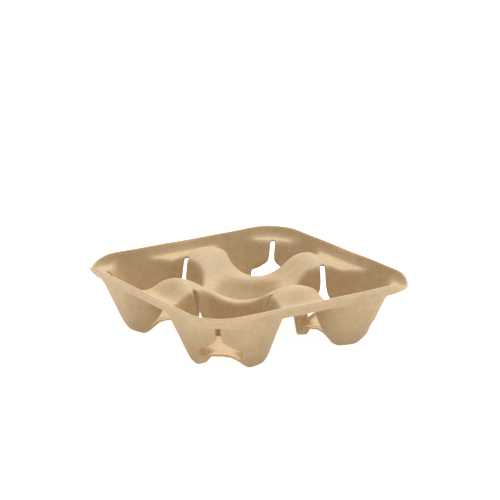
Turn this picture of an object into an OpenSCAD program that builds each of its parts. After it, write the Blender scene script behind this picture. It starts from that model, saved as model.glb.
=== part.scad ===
// Four-cup carrier moulded from paper pulp: one sheet with four cup pockets, four humps and a centre well.
// Millimetres, +Z up, origin on the table under the middle of the carrier.

/* [Sheet and rim] */
// Thickness of the moulded sheet
sheet_t = 2; // [1.6:0.1:2.6]
// Side of the square rim, outside to outside
rim_side = 216; // [206:1:226]
// Height of the rim's outer edge above the table
rim_height = 53; // [50:1:56]
// Corner radius of the rim, seen from above
rim_corner = 32; // [28:1:38]
// Drop from the rim to the ledge at the foot of the band
band_drop = 10; // [9:0.5:11]
// Lean of the band along the sides, degrees from upright
band_lean = 20; // [16:1:24]
// Lean of the band at the corners, degrees from upright
corner_lean = 28; // [24:1:34]
// Droop of the rim at two opposite corners
corner_droop = 9; // [8:0.5:9.5]

/* [Cup pockets] */
// Radius of a pocket's foot on the table
foot_r = 32; // [31:0.5:33]
// Lean of the pocket wall on the outer side, degrees from upright
outer_lean = 25; // [23:0.5:26]
// Lean of the pocket wall on the side of the humps, degrees from upright
inner_lean = 10; // [9:0.5:11]
// Depth of the groove in the wall along each slit
groove_depth = 5; // [4:0.5:6]
// Height of the raised pocket floor, underside
floor_rise = 11; // [9:0.5:13]
// Distance from the pocket axis where a toe starts to drop from the floor
toe_start = 18; // [17:0.5:19]
// Run over which a toe drops to the table
toe_run = 6; // [5:0.5:7]
// Angle of the two outer toes from the line to the carrier's corner
toe_angle = 60; // [58:1:62]

/* [Humps and centre well] */
// Height of the underside at the saddles between the well and the pockets
saddle_height = 34; // [32:1:36]
// Rise of a hump above the web it stands on
hump_rise = 13.5; // [12:0.5:15]
// Distance of a hump's middle from the centre of the carrier
hump_place = 66; // [64:1:69]
// Length of a hump's slope towards the well
hump_near = 48; // [45:1:51]
// Length of a hump's slope towards the rim
hump_far = 22; // [20:1:24]
// Half width of a hump
hump_spread = 45; // [42:1:48]
// Height of the underside at the bottom of the well
well_floor = 10; // [7:1:13]
// Distance from the centre at which the well's bowl comes up to the saddles
well_r = 29; // [27:1:31]

/* [Slits] */
// Width of a slit
slit_w = 4; // [3:0.5:4.5]
// Angle of the two flank slits from the line to the carrier's corner
flank_turn = 116; // [114:1:120]
// Distance of the pocket floor's edge from the pocket axis at an outer slit
outer_floor_r = 30.5; // [29.5:0.5:31.5]
// Distance of the foot of an outer slit from the pocket axis
outer_foot_r = 39.5; // [38.5:0.5:40.5]
// Distance of the top of an outer slit from the pocket axis
outer_top_r = 46.5; // [45:0.5:48]
// Distance of the ends of an outer slit's two legs from the pocket axis
outer_leg_r = 37.5; // [36.5:0.5:38]
// Distance of the pocket floor's edge from the pocket axis at a flank slit
flank_floor_r = 28; // [27:0.5:28.5]
// Distance of the foot of a flank slit from the pocket axis
flank_foot_r = 32; // [31.5:0.5:32.5]
// Distance of the top of a flank slit from the pocket axis
flank_top_r = 36; // [35:0.5:37]
// Distance of the ends of a flank slit's two legs from the pocket axis
flank_leg_r = 32; // [31.5:0.5:32.5]
// Half angle between the two legs, seen from the pocket axis
leg_angle = 25; // [23:1:27]

/* [Hidden] */

rim_half = rim_side/2;
// Each pocket stands in the middle of its quarter
pocket_p = rim_half/2;
ledge_height = rim_height - band_drop;
// Fillets between the walls, as shares of the lengths they join
wall_soft_share = 0.5;
foot_soft_share = 0.45;
band_soft_share = 0.9;
wall_soft = band_drop*wall_soft_share;
foot_soft = floor_rise*foot_soft_share;
band_soft = band_drop*band_soft_share;
// The web climbs from the saddles to the ledge between these two shares of the humps' distance
web_near_share = 0.45;
web_far_share = 1.23;
web_near = hump_place*web_near_share;
web_far = hump_place*web_far_share;
well_rise = saddle_height - well_floor;
// The angles over which a toe, a groove, a corner and the lean fade
toe_flat = 12;
toe_fade = 48;
groove_fade = 34;
corner_fade = 38;
droop_fade = 30;
lean_from = 60;
lean_to = 118;
overrun = rim_height;
slope_step_share = 0.01;
slope_step = sheet_t*slope_step_share;

// Directions of the mesh about a pocket axis, measured from the line to the carrier's corner
half_turn = [
    0, 7, 14, 22, 30, 39, 48, 57, 66, 75, 83, 88, 90,
    92, 98, 106, 113, 120, 127, 135, 145, 157, 168, 180
];
side_index = 12;
halves = len(half_turn) - 1;
sectors = 2*halves;
directions = [for (i = [halves : -1 : 1]) -half_turn[i], for (i = [0 : halves - 1]) half_turn[i]];
floor_ring_shares = [0.56, 0.76, 0.92];
wall_ring_shares = [0, 0.22, 0.55, 1];
middle_ring_shares = [0.15, 0.35, 0.57, 0.78, 1];
ledge_ring_shares = [0.35, 0.7, 1, 1, 1];
rim_ring_shares = [1, 1, 1, 0.45, 0];
mid_side_shares = [1, 1, 1, 0.9, 0];
mid_side_from = 70;
lip_share = 1.9;
blend_turn = 20;

function clamp01(t) = min(1, max(0, t));
function ease(t) = let (c = clamp01(t)) c*c*(3 - 2*c);
function mix(a, b, t) = a + (b - a)*t;
function soft_max(a, b, k) = let (h = max(k - abs(a - b), 0)) max(a, b) + h*h/(4*k);
function soft_min(a, b, k) = let (h = max(k - abs(a - b), 0)) min(a, b) - h*h/(4*k);

// The angle a is about a pocket axis, from the line to the carrier's corner, 0 to 180 either way
function off_slit(a) = min(abs(a), abs(abs(a) - flank_turn));
function off_toe(a) = min(abs(abs(a) - toe_angle), 180 - abs(a));
function wall_tan(a) =
    mix(tan(outer_lean), tan(inner_lean), ease((abs(a) - lean_from)/(lean_to - lean_from)));
function wall_foot(a) = foot_r - groove_depth*ease(1 - off_slit(a)/groove_fade);
function droop(a) = corner_droop*pow(clamp01(1 - abs(a)/droop_fade), 2);
function band_tan(a) = mix(tan(corner_lean), tan(band_lean), ease(abs(a)/corner_fade));

// Distance in from the rim's outline, for a point of the first quarter
function rim_inset(x, y) =
    let (qx = x - rim_half + rim_corner, qy = y - rim_half + rim_corner)
    rim_corner - norm([max(qx, 0), max(qy, 0)]) - min(max(qx, qy), 0);

function hump(along, across) =
    let (
        slope = along > hump_place ? hump_far : hump_near,
        u = clamp01(abs(along - hump_place)/slope),
        v = clamp01(across/hump_spread)
    )
    hump_rise*pow(cos(90*u)*cos(90*v), 2);

function web(x, y) =
    mix(saddle_height, ledge_height, ease((max(x, y) - web_near)/(web_far - web_near)))
    + hump(x, y) + hump(y, x);

function well(x, y) = well_floor + well_rise*(x*x + y*y)/(well_r*well_r);

// Raised floor of a pocket with its three toes, at distance r from the pocket axis
function pocket_floor(r, a) =
    floor_rise*(1 - ease((toe_fade - off_toe(a))/(toe_fade - toe_flat))*ease((r - toe_start)/toe_run));

// Height of the sheet's underside at a point of the plan
function under(px, py) =
    let (
        x = abs(px),
        y = abs(py),
        r = norm([x - pocket_p, y - pocket_p]),
        turn = r > 0 ? atan2(y - pocket_p, x - pocket_p) - 45 : 0,
        a = turn < -180 ? turn + 360 : turn,
        wall = (r - wall_foot(a))/wall_tan(a),
        rim = rim_height - (px*py < 0 ? droop(a) : 0),
        band = rim - rim_inset(x, y)/band_tan(a),
        open = soft_min(soft_min(web(x, y), well(x, y), wall_soft), wall, wall_soft)
    )
    soft_max(soft_max(open, pocket_floor(r, a), foot_soft), band, band_soft);

// Unit normal of the underside, pointing into the carrier
function inward(x, y) =
    let (
        n = [under(x - slope_step, y) - under(x + slope_step, y),
             under(x, y - slope_step) - under(x, y + slope_step),
             2*slope_step]
    )
    n/norm(n);

// How far the quarter reaches from the pocket axis: to the rim outside, to the middle lines inside
function reach(a) =
    let (
        flat = pocket_p/max(abs(cos(a + 45)), abs(sin(a + 45))),
        core = (pocket_p - rim_corner)*sqrt(2),
        bow = core*cos(a) + sqrt(max(0, pow(rim_corner, 2) - pow(core*sin(a), 2)))
    )
    abs(a) < 45 && bow*cos(a) > core + rim_corner*cos(45) ? bow : flat;

// Distances of the rings of mesh points in one direction, from the pocket axis out
function rings(a) =
    let (
        foot = wall_foot(a),
        mouth = foot + ledge_height*wall_tan(a),
        end = reach(a),
        run = band_drop*band_tan(a)*end/pocket_p,
        inside = ease((abs(a) - 90)/blend_turn),
        at_side = ease((abs(a) - mid_side_from)/(90 - mid_side_from)),
        lip = min(mouth, end - run*lip_share*(1 - inside))
    )
    [
        for (s = floor_ring_shares) s*foot,
        for (s = wall_ring_shares) mix(foot, lip, s),
        for (i = [0 : len(rim_ring_shares) - 1])
            let (inset = run*mix(rim_ring_shares[i], mid_side_shares[i], at_side))
            mix(mix(lip, end - inset, ledge_ring_shares[i]), mix(lip, end, middle_ring_shares[i]), inside)
    ];

ring_count = len(floor_ring_shares) + len(wall_ring_shares) + len(rim_ring_shares);

// Plan of the first quarter: the pocket axis first, then ring after ring
radii = [for (a = directions) rings(a)];
function snap(v) = abs(v) < slope_step ? 0 : v;
plan = [
    [pocket_p, pocket_p],
    for (k = [0 : ring_count - 1]) for (i = [0 : sectors - 1])
        let (a = directions[i] + 45)
        [snap(pocket_p + radii[i][k]*cos(a)), snap(pocket_p + radii[i][k]*sin(a))]
];
count = len(plan);
rim_from = halves - side_index;
rim_to = halves + side_index;
rim_start = 1 + (ring_count - 1)*sectors;

// Both faces of one quarter, and the rounded edge that joins them along the rim
function quarter_points(sx, sy) =
    let (
        outer = [for (q = plan) [sx*q[0], sy*q[1], under(sx*q[0], sy*q[1])]],
        inner = [for (v = outer) v + sheet_t*inward(v[0], v[1])],
        rim = [rim_start + rim_from : rim_start + rim_to],
        edge = [for (i = rim) (outer[i] + inner[i])/2 + [0, 0, sheet_t/2]]
    )
    concat(outer, inner, edge);
quarter_size = 2*count + rim_to - rim_from + 1;

function ring_point(k, i) = 1 + k*sectors + i % sectors;
quarter_faces = [
    for (i = [0 : sectors - 1]) each [
        [0, ring_point(0, i), ring_point(0, i + 1)],
        [count, count + ring_point(0, i + 1), count + ring_point(0, i)]
    ],
    for (k = [0 : ring_count - 2]) for (i = [0 : sectors - 1])
        let (
            b = ring_point(k, i),
            c = ring_point(k, i + 1),
            d = ring_point(k + 1, i + 1),
            e = ring_point(k + 1, i)
        )
        each i < halves
            ? [[b, e, d], [b, d, c], [count + b, count + d, count + e], [count + b, count + c, count + d]]
            : [[b, e, c], [e, d, c], [count + b, count + c, count + e], [count + e, count + c, count + d]],
    for (i = [rim_from : rim_to - 1])
        let (
            b = ring_point(ring_count - 1, i),
            c = ring_point(ring_count - 1, i + 1),
            m = 2*count + i - rim_from
        )
        each [[b, m, c], [c, m, m + 1], [count + b, count + c, m], [count + c, m + 1, m]]
];

// A quarter on the other side of one middle line turns its faces round
function turned(sx, sy, from) = [
    for (f = quarter_faces)
        sx*sy > 0 ? [f[0] + from, f[1] + from, f[2] + from] : [f[2] + from, f[1] + from, f[0] + from]
];
sides = [[1, 1], [-1, 1], [-1, -1], [1, -1]];

module moulded_sheet() {
    polyhedron(
        points = [for (s = sides) each quarter_points(s[0], s[1])],
        faces = [for (q = [0 : 3]) each turned(sides[q][0], sides[q][1], q*quarter_size)],
        convexity = 12
    );
}

// An upright pin through the sheet, at distance r and angle a about the pocket axis
module pin(r, a) {
    rotate(a) translate([r, 0, -overrun]) cylinder(d = slit_w, h = 3*overrun, $fn = 8);
}

// One slit up the wall, and its two legs that open over the edge of the pocket's floor
module slit(floor_edge, foot, top, leg) {
    hull() {
        pin(foot - slit_w, 0);
        pin(top, 0);
    }
    for (side = [-1, 1]) {
        hull() {
            pin(floor_edge + slit_w/2, 0);
            pin(foot - slit_w/2, 0);
            pin(leg, side*leg_angle);
        }
    }
}

module pocket_slits() {
    slit(outer_floor_r, outer_foot_r, outer_top_r, outer_leg_r);
    for (side = [-1, 1]) {
        rotate(side*flank_turn) slit(flank_floor_r, flank_foot_r, flank_top_r, flank_leg_r);
    }
}

module cup_carrier() {
    color("tan")
    difference() {
        moulded_sheet();
        for (q = [0 : 3]) {
            rotate(90*q) translate([pocket_p, pocket_p, 0]) rotate(45) pocket_slits();
        }
    }
}

cup_carrier();
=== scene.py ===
"""Looks of a moulded pulp four-cup carrier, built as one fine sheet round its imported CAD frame."""

import math

import bpy
import numpy as np
from bpy.props import FloatProperty, FloatVectorProperty, PointerProperty
from bpy.types import Operator, Panel, PropertyGroup
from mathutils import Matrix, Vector


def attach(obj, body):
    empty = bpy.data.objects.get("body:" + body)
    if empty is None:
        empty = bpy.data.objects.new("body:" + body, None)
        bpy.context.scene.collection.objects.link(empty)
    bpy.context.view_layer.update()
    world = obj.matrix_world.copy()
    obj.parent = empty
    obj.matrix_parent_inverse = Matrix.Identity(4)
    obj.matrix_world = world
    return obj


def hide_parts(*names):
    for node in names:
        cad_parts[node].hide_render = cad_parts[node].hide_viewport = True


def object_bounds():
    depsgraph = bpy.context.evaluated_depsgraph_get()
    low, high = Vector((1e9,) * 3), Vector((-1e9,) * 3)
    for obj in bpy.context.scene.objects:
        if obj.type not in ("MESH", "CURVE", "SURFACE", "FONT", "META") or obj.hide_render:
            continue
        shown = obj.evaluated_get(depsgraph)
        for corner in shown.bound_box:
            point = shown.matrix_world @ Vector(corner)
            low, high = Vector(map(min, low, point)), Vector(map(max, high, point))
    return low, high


bl_info = {
    "name": "Moulded pulp cup carrier",
    "version": (1, 0, 0),
    "blender": (4, 5, 0),
    "location": "View3D > Sidebar > Carrier",
    "description": "Builds the moulded sheet of a four-cup carrier, its pulp material and a plain stage",
    "category": "Object",
}

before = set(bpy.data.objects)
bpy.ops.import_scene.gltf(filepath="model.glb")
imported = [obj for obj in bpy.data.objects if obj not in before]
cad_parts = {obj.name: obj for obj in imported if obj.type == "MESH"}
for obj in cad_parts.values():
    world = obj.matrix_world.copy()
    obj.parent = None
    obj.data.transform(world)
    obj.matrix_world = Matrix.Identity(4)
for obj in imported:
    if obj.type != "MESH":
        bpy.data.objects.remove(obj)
CAD_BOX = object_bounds()
CAD_NODE = "cup_carrier"
BODY = "root"
RIM_SIDE = CAD_BOX[1].x - CAD_BOX[0].x
# Side of the square picture in pixels
FRAME_PIXELS = 500
# Sides of the four quarters along x and along y
QUARTERS = ((1, 1), (-1, 1), (-1, -1), (1, -1))


def length(name, description, default):
    """A length in metres that a user may change."""
    return FloatProperty(name=name, description=description, default=default, min=0,
                         unit="LENGTH", subtype="DISTANCE", precision=4)


def angle(name, description, degrees):
    """An angle that a user may change, written in degrees."""
    return FloatProperty(name=name, description=description, default=math.radians(degrees),
                         unit="ROTATION", subtype="ANGLE")


def amount(name, description, default):
    """A plain number that a user may change."""
    return FloatProperty(name=name, description=description, default=default)


# The curve of screen colours: its top value, the end and slope of its straight start, its offset and power
SCREEN_TOP = 255
STRAIGHT_END = 0.04045
STRAIGHT_SLOPE = 12.92
CURVE_OFFSET = 0.055
CURVE_POWER = 2.4


def linear(*screen):
    """Scene-linear colour of a screen colour: a straight line for the darkest values, then a power."""
    parts = np.array(screen) / SCREEN_TOP
    low = parts / STRAIGHT_SLOPE
    high = ((parts + CURVE_OFFSET) / (1 + CURVE_OFFSET)) ** CURVE_POWER
    return tuple(float(v) for v in np.where(parts > STRAIGHT_END, high, low))


def colour(name, description, *screen):
    """A colour that a user may change, written as a screen colour."""
    return FloatVectorProperty(name=name, description=description, default=linear(*screen),
                               subtype="COLOR", size=3, min=0, max=1)


class CarrierShape(PropertyGroup):
    """Sizes of the moulded sheet, the same as in the part's source."""

    sheet_t: length("Sheet thickness", "Thickness of the moulded sheet", 0.002)
    rim_side: length("Rim side", "Side of the square rim, outside to outside", RIM_SIDE)
    rim_height: length("Rim height", "Height of the rim's outer edge above the table", 0.053)
    rim_corner: length("Rim corner", "Corner radius of the rim, seen from above", 0.032)
    band_drop: length("Band drop", "Drop from the rim to the ledge at the foot of the band", 0.010)
    band_soft: length("Band fillet", "Height of the fillet between the band and the ledge", 0.009)
    band_lean: angle("Band lean", "Lean of the band along the sides, from upright", 20)
    corner_lean: angle("Corner lean", "Lean of the band at the corners, from upright", 28)
    corner_fade: angle("Corner fade", "Turn over which the corner's lean fades", 38)
    corner_droop: length("Corner droop", "Droop of the rim at two opposite corners", 0.009)
    droop_fade: angle("Droop fade", "Turn over which a corner's droop fades", 30)
    foot_r: length("Foot radius", "Radius of a pocket's foot on the table", 0.032)
    foot_soft: length("Foot fillet", "Height of the fillet round a pocket's foot", 0.005)
    outer_lean: angle("Outer lean", "Lean of the pocket wall on the outer side", 25)
    inner_lean: angle("Inner lean", "Lean of the pocket wall on the side of the humps", 10)
    lean_from: angle("Lean from", "Turn at which the outer lean starts to fade", 60)
    lean_to: angle("Lean to", "Turn at which the inner lean is reached", 118)
    groove_depth: length("Groove depth", "Depth of the groove in the wall along each slit", 0.005)
    groove_fade: angle("Groove fade", "Turn over which a groove fades", 34)
    floor_rise: length("Floor rise", "Height of the raised pocket floor", 0.011)
    toe_start: length("Toe start", "Distance from the pocket axis where a toe starts to drop", 0.018)
    toe_run: length("Toe run", "Run over which a toe drops to the table", 0.006)
    toe_angle: angle("Toe angle", "Turn of the two outer toes from the corner line", 60)
    toe_flat: angle("Toe flat", "Half turn over which a toe is flat", 12)
    toe_fade: angle("Toe fade", "Half turn over which a toe fades into the floor", 48)
    saddle_height: length("Saddle height", "Height of the saddles between the well and the pockets", 0.034)
    wall_soft: length("Wall fillet", "Height of the fillet at the mouth of a pocket", 0.005)
    web_near: length("Web start", "Distance from the centre where the web starts to climb", 0.0297)
    web_far: length("Web end", "Distance from the centre where the web reaches the ledge", 0.0812)
    hump_rise: length("Hump rise", "Rise of a hump above the web it stands on", 0.0135)
    hump_place: length("Hump place", "Distance of a hump's middle from the centre", 0.066)
    hump_near: length("Hump inner slope", "Length of a hump's slope towards the well", 0.048)
    hump_far: length("Hump outer slope", "Length of a hump's slope towards the rim", 0.022)
    hump_spread: length("Hump spread", "Half width of a hump", 0.045)
    well_floor: length("Well floor", "Height of the bottom of the centre well", 0.010)
    well_r: length("Well radius", "Distance at which the well's bowl comes up to the saddles", 0.029)
    slit_w: length("Slit width", "Width of a slit", 0.004)
    flank_turn: angle("Flank turn", "Turn of the two flank slits from the corner line", 116)
    outer_floor_r: length("Outer floor edge", "Where the floor ends at an outer slit, from the axis", 0.0305)
    outer_foot_r: length("Outer slit foot", "Distance of an outer slit's foot from the axis", 0.0395)
    outer_top_r: length("Outer slit top", "Distance of an outer slit's top from the axis", 0.0465)
    outer_leg_r: length("Outer slit legs", "Distance of an outer slit's leg ends from the axis", 0.0375)
    flank_floor_r: length("Flank floor edge", "Where the floor ends at a flank slit, from the axis", 0.028)
    flank_foot_r: length("Flank slit foot", "Distance of a flank slit's foot from the axis", 0.032)
    flank_top_r: length("Flank slit top", "Distance of a flank slit's top from the axis", 0.036)
    flank_leg_r: length("Flank slit legs", "Distance of a flank slit's leg ends from the axis", 0.032)
    leg_angle: angle("Leg angle", "Half angle between the two legs of a slit", 25)
    edge_round: length("Edge bulge", "How far a cut edge bulges between the two faces", 0.0007)
    waver: length("Waver", "Height of the slow unevenness of the moulding", 0.00035)


class PulpLook(PropertyGroup):
    """Colours and texture of the pulp."""

    light: colour("Light pulp", "Colour of the paler pulp", 216, 190, 150)
    dark: colour("Dark pulp", "Colour of the darker pulp", 190, 159, 113)
    fibre: colour("Fibres", "Colour of the pale fibres on the surface", 236, 212, 176)
    speck: colour("Specks", "Colour of the few dark specks", 128, 94, 58)
    # The edge colour is partly the worn, fibrous edge of the pulp and partly a painted highlight along the
    # rim and the cut edges
    edge: colour("Edges", "Colour of the worn, fibrous edges", 234, 206, 166)
    roughness: amount("Roughness", "Roughness of the pulp", 0.6)
    gloss: amount("Gloss", "Strength of the pulp's satin gloss", 0.6)
    bump: length("Bump", "Height of the fine surface relief", 0.0005)


class StageLook(PropertyGroup):
    """Camera and light of the plain stage."""

    azimuth: angle("Azimuth", "Turn of the camera about the carrier", -33.78)
    elevation: angle("Elevation", "Height of the camera above the horizon", 17.86)
    distance: length("Distance", "Distance of the camera from the carrier", 1.73368)
    aim_height: length("Aim height", "Height of the point that the camera is placed about", 0.027)
    focal_pixels: amount("Focal length", "Focal length in pixels of the picture", 2004.7)
    aim_column: amount("Aim column", "Column of the picture where that point falls", 246.79)
    aim_row: amount("Aim row", "Row of the picture where that point falls", 298.97)
    sky: amount("Sky", "Strength of the even light from all round", 0.4)
    key: amount("Key", "Strength of the soft lamp above", 2.6)
    key_spread: angle("Key spread", "Angle that the soft lamp fills", 50)
    floor_glow: amount("Floor glow", "Light that the white floor adds on all sides", 0.25)
    floor_lift: amount("Floor lift", "Light that lifts the floor to white in the picture", 0.6)


def ease(share):
    """Smooth step of a share, flat at 0 and at 1."""
    held = np.clip(share, 0, 1)
    return held * held * (3 - 2 * held)


def mix(first, second, share):
    """The value at a share of the way from the first to the second."""
    return first + (second - first) * share


def soft_max(first, second, fillet):
    """The larger of two heights, with a round fillet where they are close."""
    near = np.maximum(fillet - np.abs(first - second), 0)
    return np.maximum(first, second) + near * near / (4 * fillet)


def soft_min(first, second, fillet):
    """The smaller of two heights, with a round fillet where they are close."""
    return -soft_max(-first, -second, fillet)


def rim_inset(shape, x, y):
    """Distance in from the rim's outline, a square with round corners, in the first quarter."""
    core = shape.rim_side / 2 - shape.rim_corner
    past_x = x - core
    past_y = y - core
    round_part = np.hypot(np.maximum(past_x, 0), np.maximum(past_y, 0))
    return shape.rim_corner - round_part - np.minimum(np.maximum(past_x, past_y), 0)


def hump(shape, along, across):
    """Height of a hump: the square of a cosine along it times the square of a cosine across it."""
    slope = np.where(along > shape.hump_place, shape.hump_far, shape.hump_near)
    share_along = np.clip(np.abs(along - shape.hump_place) / slope, 0, 1)
    share_across = np.clip(across / shape.hump_spread, 0, 1)
    return shape.hump_rise * (np.cos(np.pi / 2 * share_along) * np.cos(np.pi / 2 * share_across)) ** 2


def polar(shape, x, y):
    """Distance from the pocket axis and turn from the line to the carrier's corner."""
    pocket = shape.rim_side / 4
    turn = np.arctan2(y - pocket, x - pocket) - np.pi / 4
    turn = np.where(turn < -np.pi, turn + np.pi * 2, turn)
    return np.hypot(x - pocket, y - pocket), turn


def wall_lines(shape, off_corner):
    """Foot of the pocket's wall and its run for each metre of height, at a turn from the corner line."""
    off_slit = np.minimum(off_corner, np.abs(off_corner - shape.flank_turn))
    lean_share = ease((off_corner - shape.lean_from) / (shape.lean_to - shape.lean_from))
    run = mix(math.tan(shape.outer_lean), math.tan(shape.inner_lean), lean_share)
    return shape.foot_r - shape.groove_depth * ease(1 - off_slit / shape.groove_fade), run


def web_height(shape, x, y):
    """Height of the web between the pockets: it climbs from saddle to ledge and carries the humps."""
    ledge = shape.rim_height - shape.band_drop
    share = ease((np.maximum(x, y) - shape.web_near) / (shape.web_far - shape.web_near))
    return mix(shape.saddle_height, ledge, share) + hump(shape, x, y) + hump(shape, y, x)


# How much gentler the foot and the toes are where roomy: their room in shares of the sheet's thickness,
# and the toes' depth as a share of the real one
FOOT_ROOM_SHARE = 0.55
TOE_ROOM_SHARE = 1.25
TOE_DEPTH_SHARE = 0.8


def underside(shape, plan, roomy=False):
    """Height of the sheet's underside over the plan.

    The web with its humps, the well's bowl and the pocket's cone are joined by their smaller height,
    then raised to the pocket's floor with its toes and to the banded rim, each join with a fillet.
    A slow waver is added where the sheet is clear of the table. Roomy heights have a gentler foot and
    gentler toes, so that the upper face, which follows their normals, hardly folds.
    """
    x, y = np.abs(plan).T
    r, turn = polar(shape, x, y)
    off_corner = np.abs(turn)
    off_toe = np.minimum(np.abs(off_corner - shape.toe_angle), np.pi - off_corner)
    foot, wall_run = wall_lines(shape, off_corner)
    wall = (r - foot) / wall_run
    band_share = ease(off_corner / shape.corner_fade)
    band_run = mix(math.tan(shape.corner_lean), math.tan(shape.band_lean), band_share)
    drooped = np.prod(plan, axis=1) < 0
    droop_share = drooped * np.clip(1 - off_corner / shape.droop_fade, 0, 1) ** 2
    rim = shape.rim_height - shape.corner_droop * droop_share
    band = rim - rim_inset(shape, x, y) / band_run
    web = web_height(shape, x, y)
    well = shape.well_floor + (shape.saddle_height - shape.well_floor) * (x * x + y * y) / shape.well_r**2
    toe = ease((shape.toe_fade - off_toe) / (shape.toe_fade - shape.toe_flat))
    toe_room = shape.sheet_t * TOE_ROOM_SHARE if roomy else 0
    toe_depth = TOE_DEPTH_SHARE if roomy else 1
    toe_drop = toe_depth * ease((r - shape.toe_start + toe_room) / (shape.toe_run + 2 * toe_room))
    floor = shape.floor_rise * (1 - toe * toe_drop)
    height = soft_min(soft_min(web, well, shape.wall_soft), wall, shape.wall_soft)
    foot_room = shape.sheet_t * FOOT_ROOM_SHARE / wall_run**2 if roomy else 0
    foot_soft = np.maximum(shape.foot_soft, foot_room)
    height = soft_max(soft_max(height, floor, foot_soft), band, shape.band_soft)
    return height + shape.waver * ease(height / shape.rim_height) * waver(shape, plan)


# Waves of the uneven moulding: how many fit across and along the carrier, and their start in radians
WAVES = (
    (1.7, 0.9, 0.4),
    (-1.3, 2.9, 2.1),
    (4.3, 3.7, 4.6),
)


def waver(shape, plan):
    """Unevenness from -1 to 1: the mean of sine waves that cross the carrier in different directions."""
    across, along = (plan / shape.rim_side * math.tau).T
    waves = [np.sin(wide * across + deep * along + start) for wide, deep, start in WAVES]
    return np.mean(waves, axis=0)


def off_segment(points, start, end):
    """Distance of points from a straight line between two points."""
    run = end - start
    share = np.clip((points - start) @ run / (run @ run), 0, 1)
    return np.linalg.norm(points - start - share[:, None] * run, axis=1)


def off_triangle(points, corners):
    """Distance of points from a triangle, negative inside it."""
    pairs = [(corners[i], corners[(i + 1) % 3]) for i in range(3)]
    away = np.min([off_segment(points, a, b) for a, b in pairs], axis=0)
    area = np.cross(corners[1] - corners[0], corners[2] - corners[0])
    sides = [np.cross(b - a, points - a) * np.sign(area) for a, b in pairs]
    return np.where(np.min(sides, axis=0) > 0, -away, away)


def at_turn(distance, turn):
    """A point at a distance and turn about the pocket axis."""
    return np.array([distance * math.cos(turn), distance * math.sin(turn)])


def off_slit_outline(shape, points, floor, foot, top, leg):
    """Distance from one slit with its two legs, negative inside: a line and two triangles made thick."""
    half = shape.slit_w / 2
    away = off_segment(points, at_turn(foot - shape.slit_w, 0), at_turn(top, 0))
    for side in (-1, 1):
        corners = [at_turn(floor + half, 0), at_turn(foot - half, 0), at_turn(leg, side * shape.leg_angle)]
        away = soft_min(away, off_triangle(points, corners), half)
    return away - half


def clearance(shape, plan):
    """Distance in plan of points of the first quarter from the nearest slit, negative inside one."""
    r, turn = polar(shape, *plan.T)
    outer = (shape.outer_floor_r, shape.outer_foot_r, shape.outer_top_r, shape.outer_leg_r)
    flank = (shape.flank_floor_r, shape.flank_foot_r, shape.flank_top_r, shape.flank_leg_r)
    slits = (
        (0, outer),
        (shape.flank_turn, flank),
        (-shape.flank_turn, flank),
    )
    away = []
    for middle, distances in slits:
        own = np.stack([r * np.cos(turn - middle), r * np.sin(turn - middle)], axis=1)
        away.append(off_slit_outline(shape, own, *distances))
    return np.min(away, axis=0) - shape.edge_round


def slope_of(function, plan, step):
    """Slope of a function of the plan along x and along y, by central differences."""
    east = np.array([step, 0])
    north = np.array([0, step])
    along_x = function(plan + east) - function(plan - east)
    along_y = function(plan + north) - function(plan - north)
    return np.stack([along_x, along_y], axis=1) / (2 * step)


# Half the distance over which a slope is taken
SLOPE_STEP = 2e-5
# Points nearer to a middle line than this are moved onto it
LINE_SNAP = 2e-5
# Points that round to the same count of these steps are made one
WELD_STEP = 1e-7
# Stops of the half turn in degrees, closest at the middle of a side, and the count of steps between them
TURN_STOPS = (0, 60, 86, 90, 95, 105, 145, 180)
TURN_STEPS = (26, 16, 4, 8, 8, 24, 12)
# Steps of the rings over the flat floor, the toes, the foot, the wall, the mouth and the way to the border
RING_STEPS = (3, 9, 11, 5, 9, 17)
# How far in from the foot its close rings start
FOOT_INSET = 0.0025
# Half width of the mouth's close rings, and how far they stay in from the border
MOUTH_HALF = 0.003
MOUTH_INSET = 0.0055
# How often the mouth's distance is worked out again
MOUTH_PASSES = 16
# Points nearer to a slit's outline than this share of its width are moved onto it
SNAP_SHARE = 0.025


def stepped(stops, steps):
    """Values from the first stop to the last, with the given count of even steps between stops."""
    marks = np.concatenate([[0], np.cumsum(steps)])
    return np.interp(np.arange(marks[-1] + 1), marks, stops)


def border_reach(shape, turn):
    """Distance from the pocket axis to the quarter's border: a square with one round corner."""
    pocket = shape.rim_side / 4
    flat = pocket / np.maximum(np.abs(np.cos(turn + np.pi / 4)), np.abs(np.sin(turn + np.pi / 4)))
    core = (pocket - shape.rim_corner) * math.sqrt(2)
    bow = core * np.cos(turn) + np.sqrt(np.maximum(shape.rim_corner**2 - (core * np.sin(turn)) ** 2, 0))
    on_bow = (np.abs(turn) < np.pi / 4) & (bow * np.cos(turn) > core + shape.rim_corner / math.sqrt(2))
    return np.where(on_bow, bow, flat)


def mouth_reach(shape, turn, foot, run):
    """Distance from the pocket axis to its mouth, where the wall is as high as the web.

    Each pass goes half of the way to the distance at which the wall has the height of the web found last.
    """
    pocket = shape.rim_side / 4
    reach = foot
    for _ in range(MOUTH_PASSES):
        x = np.abs(pocket + reach * np.cos(turn + np.pi / 4))
        y = np.abs(pocket + reach * np.sin(turn + np.pi / 4))
        reach = (reach + foot + run * web_height(shape, x, y)) / 2
    return reach


def ring_distances(shape, turn):
    """Distances of the rings in each direction, in even steps between stops that follow foot and mouth."""
    foot, run = wall_lines(shape, np.abs(turn))
    reach = border_reach(shape, turn)
    mouth = np.minimum(mouth_reach(shape, turn, foot, run), reach - MOUTH_INSET)
    flat = np.full(len(turn), shape.toe_start - shape.sheet_t / 2)
    rise = foot + run * (shape.floor_rise + shape.foot_soft)
    stops = (0 * foot, flat, foot - FOOT_INSET, rise, mouth - MOUTH_HALF, mouth + MOUTH_HALF, reach)
    parts = [
        mix(near[:, None], far[:, None], np.arange(1, steps + 1) / steps)
        for near, far, steps in zip(stops, stops[1:], RING_STEPS)
    ]
    return np.concatenate(parts, axis=1)


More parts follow.
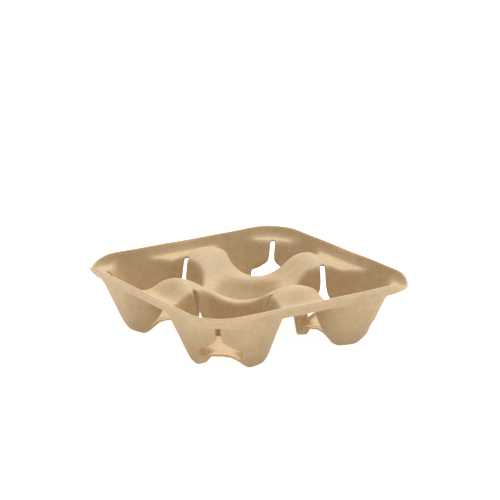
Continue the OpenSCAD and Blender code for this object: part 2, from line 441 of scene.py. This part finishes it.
def quarter_plan(shape):
    """Plan points and triangles of the first quarter: rings about the pocket axis that end on its border."""
    half = np.radians(stepped(TURN_STOPS, TURN_STEPS))
    turn = np.concatenate([-half[:0:-1], half[:-1]])
    r = ring_distances(shape, turn)
    pocket = shape.rim_side / 4
    x = pocket + r * np.cos(turn + np.pi / 4)[:, None]
    y = pocket + r * np.sin(turn + np.pi / 4)[:, None]
    plan = np.concatenate([[[pocket, pocket]], np.stack([x.ravel(), y.ravel()], axis=1)])
    plan = np.where(np.abs(plan) < LINE_SNAP, 0, plan)
    sectors, rings = r.shape
    number = 1 + np.arange(sectors * rings).reshape(sectors, rings)
    after = np.roll(number, -1, axis=0)
    fan = np.stack([np.zeros(sectors, int), number[:, 0], after[:, 0]], axis=1)
    corners = [part.ravel() for part in (number[:, :-1], number[:, 1:], after[:, 1:], after[:, :-1])]
    first = np.stack([corners[0], corners[1], corners[2]], axis=1)
    second = np.stack([corners[0], corners[2], corners[3]], axis=1)
    return plan, np.concatenate([fan, first, second])


def without_slivers(plan, triangles):
    """The plan with points that fall together made one, and the triangles that keep three corners."""
    keys = np.round(plan / WELD_STEP).astype(np.int64)
    _, chosen, number = np.unique(keys, axis=0, return_index=True, return_inverse=True)
    triangles = number.reshape(-1)[triangles]
    a, b, c = triangles.T
    whole = (a != b) & (b != c) & (c != a)
    used, packed = np.unique(triangles[whole], return_inverse=True)
    return plan[chosen][used], packed.reshape(-1, 3)


def cut_slits(shape, plan, triangles):
    """Cuts the slits out of the plan.

    Points near a slit's outline move onto it, and triangles that cross it are clipped.
    """
    away = clearance(shape, plan)
    near = np.abs(away) < shape.slit_w * SNAP_SHARE
    moved = plan[near]
    toward = slope_of(lambda p: clearance(shape, p), moved, SLOPE_STEP)
    plan[near] = moved - away[near, None] * toward
    away = np.where(near, 0, away)
    kept = away >= 0
    count = kept[triangles].sum(axis=1)
    pieces = [triangles[count == 3]]
    extra = []
    total = len(plan)
    for wanted in (1, 2):
        crossed = triangles[count == wanted]
        lone = kept[crossed] if wanted == 1 else ~kept[crossed]
        start = lone.argmax(axis=1)
        rows = np.arange(len(crossed))
        a, b, c = (crossed[rows, (start + k) % 3] for k in range(3))
        share_b = away[a] / (away[a] - away[b])
        share_c = away[a] / (away[a] - away[c])
        at_b = mix(plan[a], plan[b], share_b[:, None])
        at_c = mix(plan[a], plan[c], share_c[:, None])
        on_b = total + rows
        on_c = on_b + len(rows)
        total += 2 * len(rows)
        extra += [at_b, at_c]
        if wanted == 1:
            pieces.append(np.stack([a, on_b, on_c], axis=1))
        else:
            pieces.append(np.stack([b, c, on_c], axis=1))
            pieces.append(np.stack([b, on_c, on_b], axis=1))
    return without_slivers(np.concatenate([plan, *extra]), np.concatenate(pieces))


def four_quarters(plan, triangles):
    """The first quarter and its three mirror images, joined along the middle lines."""
    plans = []
    faces = []
    for number, (side_x, side_y) in enumerate(QUARTERS):
        plans.append(plan * np.array([side_x, side_y]))
        turned = triangles if side_x * side_y > 0 else triangles[:, ::-1]
        faces.append(turned + number * len(plan))
    return without_slivers(np.concatenate(plans), np.concatenate(faces))


# Rows of quads that close a cut edge
EDGE_ROWS = 4
# Distance over which nearness fades, and the nearness at a slit as a share of that at the rim; this nearness
# pales the pulp, partly as worn edges and partly as a painted highlight
EDGE_FADE = 0.0015
SLIT_WEAR_AND_HIGHLIGHT_SHARE = 0.3


def open_edges(triangles, count):
    """Starts and ends of the edges that belong to one triangle alone."""
    starts = triangles.ravel()
    ends = np.roll(triangles, -1, axis=1).ravel()
    alone = ~np.isin(starts * count + ends, ends * count + starts)
    return starts[alone], ends[alone]


def edge_nearness(shape, plan):
    """Nearness to an edge from 0 to 1, which falls off exponentially away from the rim and the slits."""
    # The nearness pales the pulp at the rim and the slits: partly worn fibre, partly a painted highlight
    # along the edges
    off_rim = np.maximum(rim_inset(shape, *np.abs(plan).T), 0)
    off_slits = np.maximum(clearance(shape, np.abs(plan)), 0)
    return np.maximum(np.exp(-off_rim / EDGE_FADE), SLIT_WEAR_AND_HIGHLIGHT_SHARE * np.exp(-off_slits / EDGE_FADE))


def sheet_mesh(shape):
    """Points, triangles, quads and edge nearness of the closed sheet.

    The upper face lies one thickness above the underside, along the normal of the roomy heights. Each cut
    edge and the rim are closed by rows on a half ellipse between the two faces.
    """
    plan, triangles = four_quarters(*cut_slits(shape, *quarter_plan(shape)))
    lower = np.column_stack([plan, underside(shape, plan)])
    slope = slope_of(lambda p: underside(shape, p, roomy=True), plan, SLOPE_STEP)
    normal = np.column_stack([-slope, np.ones(len(plan))])
    normal /= np.linalg.norm(normal, axis=1, keepdims=True)
    upper = lower + shape.sheet_t * normal
    count = len(plan)
    starts, ends = open_edges(triangles, count)
    outward = np.zeros((count, 3))
    side = np.cross(lower[ends] - lower[starts], normal[starts])
    np.add.at(outward, starts, side)
    np.add.at(outward, ends, side)
    edge = np.unique(starts)
    outward = outward[edge]
    outward /= np.linalg.norm(outward, axis=1, keepdims=True)
    middle = (lower + upper)[edge] / 2
    turns = np.pi * np.arange(1, EDGE_ROWS) / EDGE_ROWS
    rows = [
        middle + shape.sheet_t / 2 * math.cos(t) * normal[edge] + shape.edge_round * math.sin(t) * outward
        for t in turns
    ]
    place = np.searchsorted(edge, np.arange(count)).clip(max=len(edge) - 1)
    row_numbers = [2 * count + k * len(edge) + place for k in range(EDGE_ROWS - 1)]
    ladder = [count + np.arange(count), *row_numbers, np.arange(count)]
    quads = [
        np.stack([over[ends], over[starts], under[starts], under[ends]], axis=1)
        for over, under in zip(ladder, ladder[1:])
    ]
    nearness = edge_nearness(shape, plan)
    nearness = np.concatenate([nearness, nearness, np.tile(nearness[edge], EDGE_ROWS - 1)])
    points = np.concatenate([lower, upper, *rows])
    faces = np.concatenate([triangles[:, ::-1], triangles + count])
    return points, faces, np.concatenate(quads), nearness


def mesh_from(name, points, triangles, quads):
    """A smooth mesh from whole arrays of points, triangles and quads."""
    mesh = bpy.data.meshes.new(name)
    loops = np.concatenate([triangles.ravel(), quads.ravel()])
    totals = np.concatenate([np.full(len(triangles), 3), np.full(len(quads), 4)])
    mesh.vertices.add(len(points))
    mesh.vertices.foreach_set("co", points.astype(np.float32).ravel())
    mesh.loops.add(len(loops))
    mesh.loops.foreach_set("vertex_index", loops.astype(np.int32))
    mesh.polygons.add(len(totals))
    mesh.polygons.foreach_set("loop_start", (np.cumsum(totals) - totals).astype(np.int32))
    mesh.update(calc_edges=True)
    mesh.validate()
    mesh.shade_smooth()
    return mesh


class Wire:
    """An output of a shader node: sums, differences, products and powers add their Math nodes."""

    def __init__(self, board, socket):
        self.board = board
        self.socket = socket

    def joined(self, operation, first, second):
        """A Math node of two wires or values."""
        return self.board.add("ShaderNodeMath", {"operation": operation}, {0: first, 1: second})

    def __add__(self, other):
        return self.joined("ADD", self, other)

    def __radd__(self, other):
        return self.joined("ADD", other, self)

    def __sub__(self, other):
        return self.joined("SUBTRACT", self, other)

    def __rsub__(self, other):
        return self.joined("SUBTRACT", other, self)

    def __mul__(self, other):
        return self.joined("MULTIPLY", self, other)

    def __rmul__(self, other):
        return self.joined("MULTIPLY", other, self)

    def __pow__(self, other):
        return self.joined("POWER", self, other)

    def __abs__(self):
        return self.board.add("ShaderNodeMath", {"operation": "ABSOLUTE"}, {0: self})


# Numbers of a Mix node's sockets for colours: the share, the two colours and the result
MIX_SHARE = 0
MIX_FIRST = 6
MIX_SECOND = 7
MIX_RESULT = 2


class Board:
    """The nodes of one material or world, made one at a time."""

    def __init__(self, owner):
        owner.use_nodes = True
        self.tree = owner.node_tree
        self.tree.nodes.clear()

    def add(self, kind, settings=None, sockets=None, output=0):
        """Adds a node, sets its settings, then fills its sockets with values or links."""
        node = self.tree.nodes.new(kind)
        for key, value in (settings or {}).items():
            setattr(node, key, value)
        for key, value in (sockets or {}).items():
            if isinstance(value, Wire):
                self.tree.links.new(value.socket, node.inputs[key])
            else:
                node.inputs[key].default_value = value
        return Wire(self, node.outputs[output]) if len(node.outputs) else None

    def noise(self, place, scale, detail, roughness=0.55, distortion=0.0):
        """Soft noise from 0 to 1 at a count of cells to the metre."""
        sockets = {"Vector": place, "Scale": scale, "Detail": detail,
                   "Roughness": roughness, "Distortion": distortion}
        return self.add("ShaderNodeTexNoise", None, sockets)

    def step(self, value, low, high):
        """A smooth step of a value from 0 at low to 1 at high."""
        sockets = {"Value": value, "From Min": low, "From Max": high}
        return self.add("ShaderNodeMapRange", {"interpolation_type": "SMOOTHSTEP"}, sockets)

    def blend(self, share, first, second):
        """A colour at a share of the way from the first to the second."""
        settings = {"data_type": "RGBA", "clamp_factor": True}
        sockets = {MIX_SHARE: share, MIX_FIRST: first, MIX_SECOND: second}
        return self.add("ShaderNodeMix", settings, sockets, MIX_RESULT)


def opaque(rgb):
    """A colour property as a colour with full alpha."""
    return (*rgb, 1.0)


# Noise of the pulp's layers: cells to the metre, detail, and where given roughness and bend
CLOUD_NOISE = (30, 3)
MOTTLE_NOISE = (170, 4, 0.6)
GRAIN_NOISE = (1100, 3, 0.65)
FIBRE_NOISES = ((420, 1.5, 0.5, 1.2), (610, 1.5, 0.5, 0.8))
BREAK_NOISE = (520, 2)
NOISE_MIDDLE = 0.5
# A fibre lies where its noise is this close to the middle, and it fades in between two values of its breaks
FIBRE_HALF = 0.035
BREAK_LIMITS = (0.5, 0.62)
# Cells to the metre of the specks, the distances over which one fades, and the draws that give a cell one
SPECK_CELLS = 260
SPECK_FADE = (0.08, 0.22)
SPECK_DRAWS = (0.9, 0.93)
# Shares of cloud, mottle and grain in the tone
TONE_SHARES = (0.9, 1.1, 0.6)
# Shares that fibres, specks and the paler edges take of the colour; the paler edges are partly worn and
# partly a painted highlight
FIBRE_SHARE = 0.3
SPECK_SHARE = 0.5
WORN_AND_HIGHLIGHT_SHARE = 0.55
# Paling of an edge, partly wear and partly painted highlight: a steady share and a share that follows the
# mottle, and the limits between which it shows
WEAR_AND_HIGHLIGHT_SHARES = (0.6, 0.8)
WEAR_AND_HIGHLIGHT_LIMITS = (0.35, 1.0)
# Shares of mottle, grain, fibres and worn grain in the relief
RELIEF_SHARES = (0.55, 0.3, 0.15, 0.4)
BUMP_STRENGTH = 0.6
ROUGHNESS_SWING = 0.16


def pulp_material(look):
    """Satin pulp: slow clouds and fine mottling, short pale fibres, a few dark specks, and paler fuzzy edges
    that also paint a highlight along the rim and the cut edges.
    """
    material = bpy.data.materials.new("pulp")
    board = Board(material)
    place = board.add("ShaderNodeTexCoord", None, None, "Object")
    cloud = board.noise(place, *CLOUD_NOISE)
    mottle = board.noise(place, *MOTTLE_NOISE)
    grain = board.noise(place, *GRAIN_NOISE)
    strands = 0
    for noise in FIBRE_NOISES:
        line = abs(board.noise(place, *noise) - NOISE_MIDDLE)
        strands = 1 - board.step(line, 0, FIBRE_HALF) + strands
    fibres = strands * board.step(board.noise(place, *BREAK_NOISE), *BREAK_LIMITS)
    cell = {"Vector": place, "Scale": SPECK_CELLS, "Randomness": 1}
    spot = board.add("ShaderNodeTexVoronoi", {"feature": "F1"}, cell)
    luck = board.add("ShaderNodeTexVoronoi", {"feature": "F1"}, cell, "Color")
    draw = board.add("ShaderNodeSeparateColor", None, {"Color": luck})
    specks = (1 - board.step(spot, *SPECK_FADE)) * board.step(draw, *SPECK_DRAWS)
    swings = [(layer - NOISE_MIDDLE) * share for layer, share in zip((cloud, mottle, grain), TONE_SHARES)]
    tone = sum(swings, NOISE_MIDDLE)
    pulp = board.blend(tone, opaque(look.dark), opaque(look.light))
    pulp = board.blend(fibres * FIBRE_SHARE, pulp, opaque(look.fibre))
    pulp = board.blend(specks * SPECK_SHARE, pulp, opaque(look.speck))
    # Paler edges near the rim and the slits: partly worn fibre, partly a painted highlight along them
    nearness = board.add("ShaderNodeAttribute", {"attribute_name": "edge_nearness"}, None, "Fac")
    steady_share, mottle_share = WEAR_AND_HIGHLIGHT_SHARES
    worn_and_highlight = board.step(nearness * (steady_share + mottle * mottle_share), *WEAR_AND_HIGHLIGHT_LIMITS)
    pulp = board.blend(worn_and_highlight * WORN_AND_HIGHLIGHT_SHARE, pulp, opaque(look.edge))
    layers = (mottle, grain, fibres, worn_and_highlight * grain)
    relief = sum(layer * share for layer, share in zip(layers, RELIEF_SHARES))
    bumps = {"Strength": BUMP_STRENGTH, "Distance": look.bump, "Height": relief}
    bump = board.add("ShaderNodeBump", None, bumps)
    rough = look.roughness + (mottle - NOISE_MIDDLE) * ROUGHNESS_SWING
    shader = {"Base Color": pulp, "Roughness": rough, "Normal": bump, "Specular IOR Level": look.gloss}
    surface = board.add("ShaderNodeBsdfPrincipled", None, shader)
    board.add("ShaderNodeOutputMaterial", None, {"Surface": surface})
    return material


class CARRIER_OT_moulded_sheet(Operator):
    """Build the carrier's moulded sheet with its slits and its pulp"""

    bl_idname = "carrier.moulded_sheet"
    bl_label = "Build moulded sheet"

    def execute(self, context):
        """Builds the sheet from the scene's sizes and ties it to the part's node."""
        shape = context.scene.carrier_shape
        points, triangles, quads, nearness = sheet_mesh(shape)
        mesh = mesh_from("cup_carrier_sheet", points, triangles, quads)
        attribute = mesh.attributes.new("edge_nearness", "FLOAT", "POINT")
        attribute.data.foreach_set("value", nearness.astype(np.float32))
        mesh.materials.append(pulp_material(context.scene.carrier_pulp))
        sheet = bpy.data.objects.new("cup_carrier_sheet", mesh)
        context.scene.collection.objects.link(sheet)
        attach(sheet, BODY)
        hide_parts(CAD_NODE)
        return {"FINISHED"}


# How far the camera sees
CLIP_END = 100
# Lean of the soft lamp for each metre of height: to the right of the picture and behind the carrier
KEY_RIGHT_SHARE = 0.15
KEY_BEHIND_SHARE = 0.4
# Half side and grey of the floor
FLOOR_HALF = 12
FLOOR_GREY = 0.85
WHITE = (1, 1, 1, 1)


def make_camera(scene, stage):
    """A camera on a line through the carrier, turned so that the carrier falls where the picture has it."""
    lens = bpy.data.cameras.new("photo_camera")
    camera = bpy.data.objects.new("photo_camera", lens)
    scene.collection.objects.link(camera)
    level = math.cos(stage.elevation)
    climb = math.sin(stage.elevation)
    back = Vector((math.sin(stage.azimuth) * level, -math.cos(stage.azimuth) * level, climb))
    right = Vector((math.cos(stage.azimuth), math.sin(stage.azimuth), 0))
    up = back.cross(right)
    middle = Vector((0, 0, stage.aim_height))
    pixel = stage.distance / stage.focal_pixels
    left_over = right * (FRAME_PIXELS / 2 - stage.aim_column) * pixel
    lift = up * (stage.aim_row - FRAME_PIXELS / 2) * pixel
    camera.location = middle + back * stage.distance
    sight = middle + left_over + lift - camera.location
    camera.rotation_mode = "QUATERNION"
    camera.rotation_quaternion = sight.to_track_quat("-Z", "Y")
    lens.lens = lens.sensor_width * stage.focal_pixels / FRAME_PIXELS
    lens.clip_end = CLIP_END
    scene.camera = camera
    return right, back


def make_key(scene, stage, right, back):
    """One soft lamp high above the carrier, behind it and a little to the right."""
    lamp = bpy.data.lights.new("soft_key", "SUN")
    lamp.energy = stage.key
    lamp.angle = stage.key_spread
    key = bpy.data.objects.new("soft_key", lamp)
    scene.collection.objects.link(key)
    behind = -Vector((back.x, back.y, 0)).normalized()
    towards = right * KEY_RIGHT_SHARE + behind * KEY_BEHIND_SHARE + Vector((0, 0, 1))
    key.rotation_mode = "QUATERNION"
    key.rotation_quaternion = (-towards).to_track_quat("-Z", "Y")


def background_rays(board):
    """1 for rays of the camera, of gloss and of glass, which see a white background, and 0 for the rest."""
    camera, glossy, clear = (
        board.add("ShaderNodeLightPath", None, None, name)
        for name in ("Is Camera Ray", "Is Glossy Ray", "Is Transmission Ray")
    )
    either = board.add("ShaderNodeMath", {"operation": "MAXIMUM"}, {0: camera, 1: glossy})
    return board.add("ShaderNodeMath", {"operation": "MAXIMUM"}, {0: either, 1: clear})


def make_world(scene, stage):
    """Even light from all round, which background rays see as white."""
    world = bpy.data.worlds.new("studio")
    scene.world = world
    board = Board(world)
    strength = stage.sky + background_rays(board) * (1 - stage.sky)
    light = board.add("ShaderNodeBackground", None, {"Color": WHITE, "Strength": strength})
    board.add("ShaderNodeOutputWorld", None, {"Surface": light})


def make_floor(scene, stage):
    """A wide pale floor, lifted to white where background rays see it."""
    corners = [(FLOOR_HALF * side_x, FLOOR_HALF * side_y, 0) for side_x, side_y in QUARTERS]
    mesh = bpy.data.meshes.new("studio_floor")
    mesh.from_pydata(corners, [], [(0, 1, 2, 3)])
    material = bpy.data.materials.new("white_floor")
    board = Board(material)
    paint = board.add("ShaderNodeBsdfDiffuse", None, {"Color": opaque([FLOOR_GREY] * 3)})
    strength = stage.floor_glow + background_rays(board) * stage.floor_lift
    glow = board.add("ShaderNodeEmission", None, {"Color": WHITE, "Strength": strength})
    both = board.add("ShaderNodeAddShader", None, {0: paint, 1: glow})
    board.add("ShaderNodeOutputMaterial", None, {"Surface": both})
    mesh.materials.append(material)
    floor = bpy.data.objects.new("studio_floor", mesh)
    scene.collection.objects.link(floor)


class CARRIER_OT_stage(Operator):
    """Set the camera, the soft light and the white floor"""

    bl_idname = "carrier.stage"
    bl_label = "Set stage"

    def execute(self, context):
        """Sets the stage from the scene's values, with colours shown as they are."""
        scene = context.scene
        stage = scene.carrier_stage
        right, back = make_camera(scene, stage)
        make_key(scene, stage, right, back)
        make_world(scene, stage)
        make_floor(scene, stage)
        scene.view_settings.view_transform = "Standard"
        return {"FINISHED"}


class CARRIER_PT_sidebar(Panel):
    """The carrier's steps and values in the 3D view's sidebar"""

    bl_idname = "CARRIER_PT_sidebar"
    bl_label = "Cup carrier"
    bl_space_type = "VIEW_3D"
    bl_region_type = "UI"
    bl_category = "Carrier"

    def draw(self, context):
        """Lists the two steps and every value."""
        layout = self.layout
        layout.operator(CARRIER_OT_moulded_sheet.bl_idname)
        layout.operator(CARRIER_OT_stage.bl_idname)
        for group in (context.scene.carrier_shape, context.scene.carrier_pulp, context.scene.carrier_stage):
            box = layout.box()
            for name in group.__annotations__:
                box.prop(group, name)


CLASSES = (
    CarrierShape,
    PulpLook,
    StageLook,
    CARRIER_OT_moulded_sheet,
    CARRIER_OT_stage,
    CARRIER_PT_sidebar,
)


def register():
    """Adds the classes and the scene's groups of values."""
    for made in CLASSES:
        bpy.utils.register_class(made)
    bpy.types.Scene.carrier_shape = PointerProperty(type=CarrierShape)
    bpy.types.Scene.carrier_pulp = PointerProperty(type=PulpLook)
    bpy.types.Scene.carrier_stage = PointerProperty(type=StageLook)


def unregister():
    """Takes the groups of values and the classes away again."""
    del bpy.types.Scene.carrier_stage
    del bpy.types.Scene.carrier_pulp
    del bpy.types.Scene.carrier_shape
    for made in reversed(CLASSES):
        bpy.utils.unregister_class(made)


def main():
    """Builds the carrier and its stage."""
    register()
    bpy.ops.carrier.moulded_sheet()
    bpy.ops.carrier.stage()


if __name__ == "__main__":
    main()
